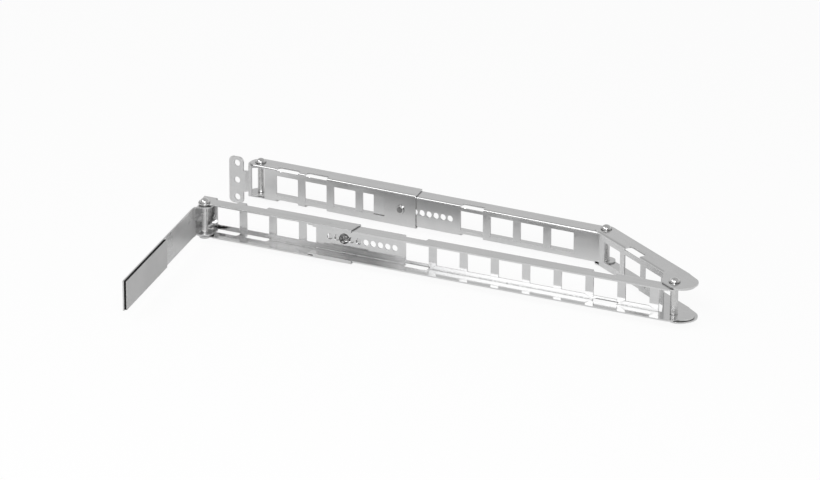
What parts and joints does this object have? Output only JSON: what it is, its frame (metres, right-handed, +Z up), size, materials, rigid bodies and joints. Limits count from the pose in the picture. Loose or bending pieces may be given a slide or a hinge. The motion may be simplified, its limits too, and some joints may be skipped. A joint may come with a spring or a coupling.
{
  "type": "server cable management arm",
  "caption": "Folding cable management arm of bright sheet-steel channels with cable windows, telescoping hole rows, riveted hinges, a rack ear and a padded server bracket.",
  "frame": {"origin": "centre of the rack ear's middle screw hole, on the ear's mounting face", "axes": "+Z up along the hinge axes, +X along the rear arm away from the rack ear, -Y towards the server bracket, out of the ear's mounting face"},
  "size_m": [0.4979, 0.3227, 0.0436],
  "materials": {
    "channel_zinc": "bright zinc-plated sheet, satin to mirror",
    "bracket_zinc": "zinc-plated sheet, satin",
    "hardware": "bright plated steel",
    "foam": "black closed-cell foam",
    "liner": "grey release liner, matte"
  },
  "bodies": {
    "rack_ear": {"rack_ear_bracket": "bracket_zinc", "ear_hinge_rivet": "hardware", "ear_hinge_spacer": "hardware", "ear_hinge_washers": "hardware"},
    "rear_arm": {"rear_outer_channel": "channel_zinc", "rear_clinch_nut": "hardware", "rear_lock_screw": "hardware"},
    "rear_extension": {"rear_inner_channel": "channel_zinc"},
    "link": {"link_channel": "channel_zinc", "rear_link_rivet": "hardware", "rear_link_spacer": "hardware", "rear_link_washers": "hardware", "front_link_rivet": "hardware", "front_link_spacer": "hardware", "front_link_washers": "hardware"},
    "front_extension": {"front_inner_channel": "channel_zinc"},
    "front_arm": {"front_outer_channel": "channel_zinc", "front_clinch_nut": "hardware", "front_lock_screw": "hardware"},
    "server_end": {"server_bracket": "bracket_zinc", "foam_pad": "foam", "pad_liner": "liner", "server_hinge_rivet": "hardware", "server_hinge_spacer": "hardware", "server_hinge_washers": "hardware"}
  },
  "joints": [
    {"name": "ear_hinge", "type": "hinge", "parent": "rack_ear", "child": "rear_arm", "pos_m": [0.0164, 0.0139, 0], "axis": [0, 0, 1], "range_deg": [-50, 90]},
    {"name": "rear_adjust", "type": "slide", "parent": "rear_arm", "child": "rear_extension", "axis": [1, 0, 0], "range_m": [-0.028, 0.014]},
    {"name": "rear_link_hinge", "type": "hinge", "parent": "rear_extension", "child": "link", "pos_m": [0.3624, 0.01295, 0], "axis": [0, 0, 1], "range_deg": [-5, 33]},
    {"name": "front_link_hinge", "type": "hinge", "parent": "link", "child": "front_extension", "pos_m": [0.47026, -0.07388, 0], "axis": [0, 0, 1], "range_deg": [-4, 145]},
    {"name": "front_adjust", "type": "slide", "parent": "front_extension", "child": "front_arm", "axis": [-0.9995, -0.0307, 0], "range_m": [-0.028, 0.014]},
    {"name": "server_hinge", "type": "hinge", "parent": "front_arm", "child": "server_end", "pos_m": [0.03073, -0.1026, 0], "axis": [0, 0, 1], "range_deg": [-95, 68]}
  ]
}
